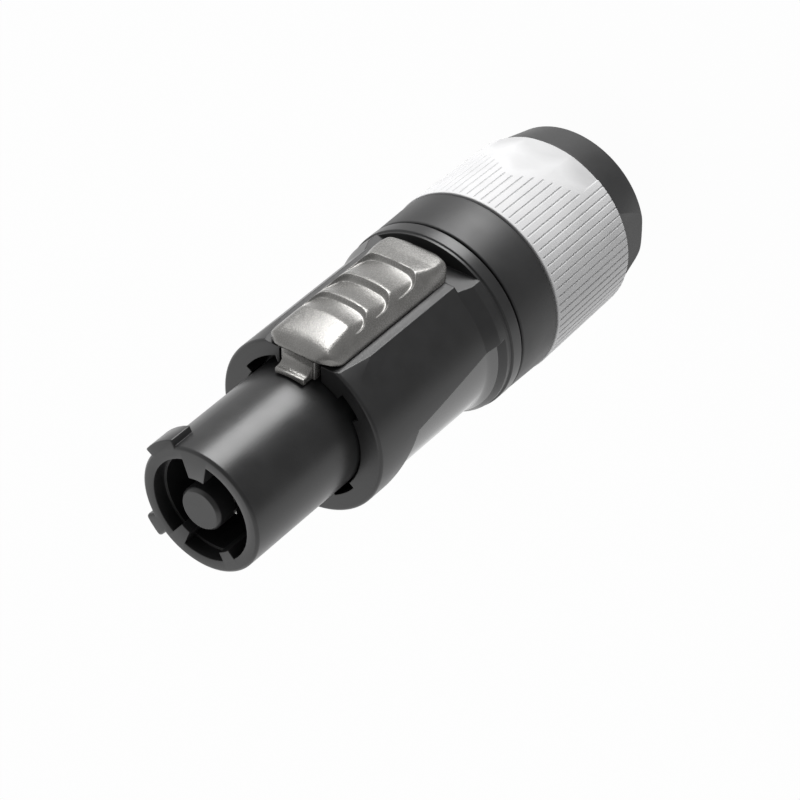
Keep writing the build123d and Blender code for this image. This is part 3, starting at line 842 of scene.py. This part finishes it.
def turn_from_field(angle):
    """Degrees from the middle of the nearest smooth field, for polar angles in degrees."""
    return np.abs((angle + 90 + 90) % 180 - 90)


def field_fall(away, z):
    """How far a smooth field lies below the plain cone; it sinks backwards in faint facets."""
    sink = 0.13 * np.clip((11.7 - z) / 4.8, 0, 1)
    middle = 0.08 * (1 - (away / facet_edge) ** 2)
    side = 0.04 * (1 - ((away - 26.5) / 10.5) ** 2)
    return sink + np.where(away < facet_edge, middle, np.maximum(side, 0))


def grip_radius(angle, z):
    """Outer radius of the sleeve."""
    plain = rear_radius + (front_radius - rear_radius) * (z - grip_low) / (grip_high - grip_low)
    phase = (angle - 270 - 180 / flutes) / (360 / flutes)
    across = np.abs(phase - np.round(phase)) * 360 / flutes * pi / 180 * mean_radius
    depth = groove_depth * (1 - np.clip(across / groove_half, 0, 1) ** 2.6)
    away = turn_from_field(angle)
    stop = np.interp(away, stop_turns, stop_heights, right=-5)
    in_field = np.clip((field_half - away) / 0.4, 0, 1)
    starts = np.clip((z - stop) / 0.28, 0, 1) ** 0.5
    starts = np.where(away > field_half, 1.0, starts)
    ends = np.clip((grip_high - lip - z) / 0.2, 0, 1) ** 0.5
    fluted = plain - depth * starts * ends
    settle = np.clip((stop - z) / 2.4, 0, 1)
    smooth = plain - field_fall(away, z) * settle
    below = np.where(z < stop, in_field, 0)
    radius = fluted * (1 - below) + smooth * below
    front = np.clip((grip_high - z) / front_round, 0, 1)
    rear = np.clip((z - grip_low) / rear_round, 0, 1)
    return radius - 0.15 * quarter(front) - 0.1 * quarter(rear)


print("flute pitch:", round(2 * pi * mean_radius / flutes, 3), "mm")

# %% [markdown]
# ## Building the grip
# Rows are closer together near the two ends and where the flutes stop, where the shape changes
# quickly. The inside is the twelve-sided hole that keeps the sleeve from turning on its core, so
# the mesh is a closed shell.

# %% Grip mesh
pitch = 360 / flutes
offsets = [-0.45, -0.3, -0.22, -0.18, -0.13, -0.07, 0, 0.07, 0.13, 0.18, 0.22, 0.3, 0.45]
offsets = np.append(np.degrees(np.array(offsets) / mean_radius), pitch / 2)
places = [270 + pitch * (flute + 0.5) for flute in range(flutes)]
turns = np.array([place + offset for place in places for offset in offsets])
creases = [middle + side for middle in (90, 270) for side in (-facet_edge, facet_edge)]
turns = np.sort(np.append(turns, [turns[0] + (crease - turns[0]) % 360 for crease in creases]))
stops_low, stops_high, flute_end = 11.2, 17.8, grip_high - 0.55
heights = np.concatenate(
    [
        grip_low + np.linspace(0, rear_round, 4)[:-1],
        np.linspace(grip_low + rear_round, stops_low, 15)[:-1],
        np.linspace(stops_low, stops_high, 46)[:-1],
        np.linspace(stops_high, grip_high - 1.0, 12)[:-1],
        np.linspace(grip_high - 1.0, flute_end, 8)[:-1],
        np.linspace(flute_end, grip_high - front_round, 3)[:-1],
        np.linspace(grip_high - front_round, grip_high, 5),
    ]
)
points = []
for z in heights:
    radii = grip_radius(turns, np.full_like(turns, z))
    points += [(*polar(radius, angle), z) for angle, radius in zip(turns, radii)]
inner = core_radius * cos(radians(15)) / np.cos(np.radians((turns + 15) % 30 - 15))
for z in (grip_high, grip_low):
    points += [(*polar(radius, angle), z) for angle, radius in zip(turns, inner)]
grip = piece_from("grip_fluted", points, bands(len(turns), len(heights) + 2, True), sharp=2)
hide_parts("grip_sleeve")
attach(grip, "bushing")
tell(grip, "done")

# %% [markdown]
# ## Node helpers
# Every finish below is a small network of nodes. The helpers add a node with its settings, start a
# material and join the usual patterns to its shader. All patterns run on object coordinates in
# metres, which makes a scale of 1000 mean one millimetre.

# %% Node helpers
def feed(tree, place, value):
    """Links an input to another node's output, or gives it a plain value."""
    if isinstance(value, bpy.types.NodeSocket):
        tree.links.new(value, place)
    else:
        place.default_value = value


def add_node(tree, kind, settings=None, **inputs):
    """Adds a node, sets its properties and feeds its inputs."""
    made = tree.nodes.new(kind)
    for name, value in (settings or {}).items():
        setattr(made, name, value)
    for name, value in inputs.items():
        feed(tree, made.inputs[name.replace("_", " ")], value)
    return made


def empty_tree(owner):
    """Node tree of a material or world, without its first nodes."""
    owner.use_nodes = True
    owner.node_tree.nodes.clear()
    return owner.node_tree


def new_finish(name):
    """Material with a Principled shader linked to its output."""
    made = bpy.data.materials.new(name)
    tree = empty_tree(made)
    shader = add_node(tree, "ShaderNodeBsdfPrincipled")
    add_node(tree, "ShaderNodeOutputMaterial", Surface=shader.outputs["BSDF"])
    return made, tree, shader


def speckle(tree, scale, detail=3.0, roughness=0.55):
    """Noise on object coordinates with a scale in features per metre."""
    place = add_node(tree, "ShaderNodeTexCoord").outputs["Object"]
    shape = {"Scale": scale, "Detail": detail, "Roughness": roughness}
    return add_node(tree, "ShaderNodeTexNoise", Vector=place, **shape).outputs["Fac"]


def spread_colour(tree, shader, factor, dark, light):
    """Colour that wanders between two tones with a noise factor."""
    ramp = add_node(tree, "ShaderNodeValToRGB", Fac=factor)
    for stop, position, tone in zip(ramp.color_ramp.elements, (0.35, 0.65), (dark, light)):
        stop.position = position
        stop.color = (*tone, 1)
    tree.links.new(ramp.outputs["Color"], shader.inputs["Base Color"])


def mapped(tree, value, start, end, low, high, settings=None):
    """Value that goes from low to high while another goes from start to end."""
    limits = {"From_Min": start, "From_Max": end, "To_Min": low, "To_Max": high}
    return add_node(tree, "ShaderNodeMapRange", settings, Value=value, **limits).outputs["Result"]


def spread_roughness(tree, shader, factor, low, high):
    """Roughness that wanders between two values with a noise factor."""
    tree.links.new(mapped(tree, factor, 0.3, 0.7, low, high), shader.inputs["Roughness"])


def grain(tree, shader, factor, height, edge=0.0):
    """Bump of a given height in millimetres, with edges rounded to a radius in millimetres."""
    bump = add_node(tree, "ShaderNodeBump", Height=factor, Strength=1.0, Distance=height / 1000)
    if edge:
        rounded = add_node(tree, "ShaderNodeBevel", {"samples": 6}, Radius=edge / 1000)
        tree.links.new(rounded.outputs["Normal"], bump.inputs["Normal"])
    tree.links.new(bump.outputs["Normal"], shader.inputs["Normal"])


print("node helpers ready")

# %% [markdown]
# ## Black moulded plastic
# Glass-filled nylon comes out of a spark-eroded mould with a very fine grain: dark, never quite
# black, with a broad soft sheen. The noise drives a bump of a few microns, and a slower noise
# varies the sheen, as handling does. The hollow for the fingers is polished.

# %% Black plastics
def black_plastic(name, tone, rough, bump=0.004, edge=0.18, gloss=1.55):
    """Black plastic with a fine eroded grain."""
    made, tree, shader = new_finish(name)
    fine = speckle(tree, 5200, 2.0)
    slow = speckle(tree, 260, 4.0)
    spread_colour(tree, shader, slow, tuple(c * 0.88 for c in tone), tuple(c * 1.12 for c in tone))
    spread_roughness(tree, shader, slow, rough - 0.03, rough + 0.04)
    grain(tree, shader, fine, bump, edge)
    shader.inputs["IOR"].default_value = gloss
    return made


housing_black = black_plastic("housing_black", (0.018, 0.018, 0.0185), 0.35)
hollow_black = black_plastic("hollow_black", (0.02, 0.02, 0.0205), 0.12, 0.0006, 0.12, 2.1)
nose_black = black_plastic("nose_black", (0.02, 0.02, 0.0205), 0.31, 0.011, 0.12)
bushing_black = black_plastic("bushing_black", (0.017, 0.017, 0.0175), 0.47, 0.006)
print("black plastics made")

# %% [markdown]
# ## Satin finish of the latch
# The latch is a zinc casting with a fine satin lacquer, mid grey with a sandy sparkle where the
# light strikes it. Full metal would turn nearly black on the side away from the lamp; a share of
# 0.6 keeps the grey body and still gives the bright patches.

# %% Latch finish
latch_metal, tree, shader = new_finish("latch_metal")
blasted = speckle(tree, 4200, 3.0, 0.7)
clouds = speckle(tree, 320, 3.0)
spread_colour(tree, shader, clouds, (0.235, 0.231, 0.222), (0.28, 0.275, 0.265))
spread_roughness(tree, shader, blasted, 0.18, 0.34)
grain(tree, shader, blasted, 0.032, 0.1)
shader.inputs["Metallic"].default_value = 0.6
print("latch finish made")

# %% [markdown]
# ## Pale rubber of the grip
# The grip is a matt, light grey elastomer. The bottoms of the flutes are painted darker than the
# tops: painted shade, a darkening of the base colour by the depth below the outer cone, which
# follows the real shape of every flute.

# %% Grip rubber
grip_rubber, tree, shader = new_finish("grip_rubber")
matt = speckle(tree, 4200, 3.0)
clouds = speckle(tree, 180, 3.0)
spread_colour(tree, shader, clouds, (0.62, 0.62, 0.625), (0.67, 0.67, 0.675))
spread_roughness(tree, shader, clouds, 0.58, 0.66)
grain(tree, shader, matt, 0.004, 0.08)


def combined(tree, how, a, b):
    """Result of a calculation with two values."""
    made = add_node(tree, "ShaderNodeMath", {"operation": how})
    for place, value in zip(made.inputs, (a, b)):
        feed(tree, place, value)
    return made.outputs["Value"]


def flute_depth(tree):
    """Depth of a point below the outer cone of the grip, in metres and negative inside a flute."""
    place = add_node(tree, "ShaderNodeTexCoord").outputs["Object"]
    height = add_node(tree, "ShaderNodeSeparateXYZ", Vector=place).outputs["Z"]
    flat = add_node(tree, "ShaderNodeVectorMath", {"operation": "MULTIPLY"}, Vector=place)
    flat.inputs[1].default_value = (1, 1, 0)
    flat = flat.outputs["Vector"]
    away = add_node(tree, "ShaderNodeVectorMath", {"operation": "LENGTH"}, Vector=flat)
    slope = (front_radius - rear_radius) / (grip_high - grip_low)
    rise = combined(tree, "MULTIPLY", height, slope)
    cone = combined(tree, "ADD", rise, (rear_radius - slope * grip_low) / 1000)
    return combined(tree, "SUBTRACT", away.outputs["Value"], cone)


# Painted shade: the base colour is darkened inside the flutes, the more the deeper below the cone.
unshaded_colour = shader.inputs["Base Color"].links[0].from_socket
painted_flute_shade = mapped(tree, flute_depth(tree), -0.00013, -0.00004, 0.82, 1.0)
shade_darkened_colour = add_node(tree, "ShaderNodeVectorMath", {"operation": "SCALE"}, Vector=unshaded_colour, Scale=painted_flute_shade)
tree.links.new(shade_darkened_colour.outputs["Vector"], shader.inputs["Base Color"])
print("grip rubber made")

# %% [markdown]
# ## Metals and collet inside
# The contacts are silver plated, the terminal blocks brass, their screws zinc plated steel and the
# latch spring plain steel wire. They are only seen through openings, so one recipe in four tones
# serves them all. The collet is ivory plastic.

# %% Inner finishes
def plain_metal(name, dark, light, rough):
    """Metal with slight tarnish and fine marks."""
    made, tree, shader = new_finish(name)
    marks = speckle(tree, 1500, 4.0)
    stain = speckle(tree, 420, 3.0)
    spread_colour(tree, shader, stain, dark, light)
    spread_roughness(tree, shader, marks, rough - 0.05, rough + 0.07)
    grain(tree, shader, marks, 0.003)
    shader.inputs["Metallic"].default_value = 1.0
    return made


silver = plain_metal("contact_silver", (0.74, 0.73, 0.7), (0.83, 0.82, 0.8), 0.24)
brass = plain_metal("terminal_brass", (0.68, 0.5, 0.24), (0.76, 0.58, 0.3), 0.3)
zinc = plain_metal("screw_zinc", (0.6, 0.61, 0.63), (0.7, 0.71, 0.73), 0.28)
steel = plain_metal("spring_steel", (0.5, 0.5, 0.5), (0.6, 0.6, 0.6), 0.25)

chuck_ivory, tree, shader = new_finish("chuck_ivory")
satin = speckle(tree, 3000, 3.0)
tone = speckle(tree, 200, 3.0)
spread_colour(tree, shader, tone, (0.66, 0.62, 0.52), (0.72, 0.68, 0.58))
spread_roughness(tree, shader, tone, 0.42, 0.52)
grain(tree, shader, satin, 0.003)
print("inner finishes made")

# %% [markdown]
# ## Giving the finishes to the pieces
# New pieces take one material each, the housing two. The polished hollow is picked out by its
# place: it is the only outer surface of the housing on its small radius. The solids that stay keep
# their meshes and only get a new material in their slots.

# %% Assign finishes
def dress(obj, *finishes):
    """Replaces an object's materials."""
    obj.data.materials.clear()
    for finish in finishes:
        obj.data.materials.append(finish)


def dress_node(name, finish):
    """Puts a finish in every slot of a CAD node."""
    obj = nodes[name]
    if not obj.material_slots:
        obj.data.materials.append(finish)
    for place in obj.material_slots:
        place.link = "OBJECT"
        place.material = finish


hollow_low, hollow_high, hollow_side = relief_back - 6, relief_front + 6.9, -4
hollow_inner, hollow_outer = 12.9, 13.86
dress(housing, housing_black, hollow_black)
for face in housing.data.polygons:
    middle = face.center * 1000
    beside = hollow_low < middle.z < hollow_high and middle.y > hollow_side
    deep = hollow_inner < hypot(middle.x, middle.y) < hollow_outer
    face.material_index = 1 if beside and deep else 0
dress(insert, nose_black)
dress(bushing, bushing_black)
dress(latch, latch_metal)
dress(grip, grip_rubber)
dress_node("chuck", chuck_ivory)
dress(spring, steel)
for pole in ("live", "neutral", "earth"):
    dress_node("contact_" + pole, silver)
    dress_node("terminal_" + pole, brass)
    dress_node("screw_" + pole, zinc)
print("polished faces:", sum(face.material_index for face in housing.data.polygons))

# %% [markdown]
# ## Floor
# The part is shown on plain white, above a floor that only the camera sees: nearly all white of its
# own, with a small share of lit paint for a soft shadow. A shadow catcher would need a compositor.
# The floor lies a little low, because the strain relief comes down there when it is unscrewed, and
# light from below may pass it.

# %% Floor
reach, floor_drop = 3000, -6.0
corners = [(-reach, -reach), (reach, -reach), (reach, reach), (-reach, reach)]
floor = piece_from("floor", [(x, y, floor_drop) for x, y in corners], [[0, 1, 2, 3]])
floor_white = bpy.data.materials.new("floor_white")
tree = empty_tree(floor_white)
paint = add_node(tree, "ShaderNodeBsdfDiffuse", Color=(0.9, 0.9, 0.9, 1))
white = add_node(tree, "ShaderNodeEmission", Color=(1, 1, 1, 1), Strength=1.0)
share = add_node(tree, "ShaderNodeMixShader", Fac=0.97)
tree.links.new(paint.outputs["BSDF"], share.inputs[1])
tree.links.new(white.outputs["Emission"], share.inputs[2])
add_node(tree, "ShaderNodeOutputMaterial", Surface=share.outputs["Shader"])
dress(floor, floor_white)
floor.visible_diffuse = False
floor.visible_glossy = False
floor.visible_transmission = False
floor.visible_shadow = False
print("floor laid")

# %% [markdown]
# ## World
# Around the part there is a soft white room, brighter on two sides, as with two large reflectors.
# The direction of the ray picks the brightness. The camera sees plain white, and reflections get a
# share of that white too.

# %% World light
world = bpy.data.worlds.new("studio")
bpy.context.scene.world = world
tree = empty_tree(world)
direction = add_node(tree, "ShaderNodeTexCoord").outputs["Generated"]
parts = add_node(tree, "ShaderNodeSeparateXYZ", Vector=direction)


def side_light(axis, end, strength):
    """Soft reflector: its strength rises with one component of the ray's direction."""
    soft = {"interpolation_type": "SMOOTHSTEP"}
    return mapped(tree, parts.outputs[axis], 0.0, end, 0.0, strength, soft)


dim_side, brightest, mirror_share = 0.19, 1.1, 0.15
reflectors = combined(tree, "ADD", side_light("Y", 0.3, 0.8), side_light("X", 0.5, 0.5))
room_light = combined(tree, "MINIMUM", combined(tree, "ADD", reflectors, dim_side), brightest)
paths = add_node(tree, "ShaderNodeLightPath").outputs
seen = combined(tree, "MAXIMUM", paths["Is Camera Ray"], paths["Is Transmission Ray"])
mirrored = combined(tree, "MULTIPLY", paths["Is Glossy Ray"], mirror_share)
whiteness = combined(tree, "MAXIMUM", seen, mirrored)
mixed = {"Factor": whiteness, "A": room_light, "B": 1.0}
strength = add_node(tree, "ShaderNodeMix", {"data_type": "FLOAT"}, **mixed).outputs["Result"]
background = add_node(tree, "ShaderNodeBackground", Color=(1, 1, 1, 1), Strength=strength)
add_node(tree, "ShaderNodeOutputWorld", Surface=background.outputs["Background"])
print("world nodes:", len(tree.nodes))

# %% [markdown]
# ## Lamp and camera
# One large soft box gives the white patches on the latch and the sheen along the barrel. The camera
# has a long lens and a roll, since the picture shows the connector lying and the part stands on its
# end here. The Standard view transform keeps colours as they are written.

# %% Key lamp, camera and view
aim, key_distance = Vector((0, 0, 0.045)), 0.5
towards_key = Vector((0.166, -0.885, -0.435)).normalized()
key = bpy.data.lights.new("key", "AREA")
key.shape = "RECTANGLE"
key.size = 0.3
key.size_y = 0.38
key.energy = 3.0
key_lamp = bpy.data.objects.new("key", key)
key_lamp.location = aim + towards_key * key_distance
key_lamp.rotation_euler = towards_key.to_track_quat("Z", "Y").to_euler()
bpy.context.scene.collection.objects.link(key_lamp)

camera = bpy.data.cameras.new("camera")
camera.sensor_width = 36
camera.lens = 157.5
camera.clip_start = 0.01
camera_object = bpy.data.objects.new("camera", camera)
bpy.context.scene.collection.objects.link(camera_object)
right = Vector((-0.8009, 0, -0.5988)).normalized()
back = Vector((-0.4646, -0.6310, 0.6214)).normalized()
up = back.cross(right)
placed = Matrix((right, up, back)).transposed().to_4x4()
placed.translation = (-0.2353, -0.3094, 0.3582)
camera_object.matrix_world = placed
bpy.context.scene.camera = camera_object
bpy.context.scene.view_settings.view_transform = "Standard"
print("camera at", [round(v, 3) for v in placed.translation])
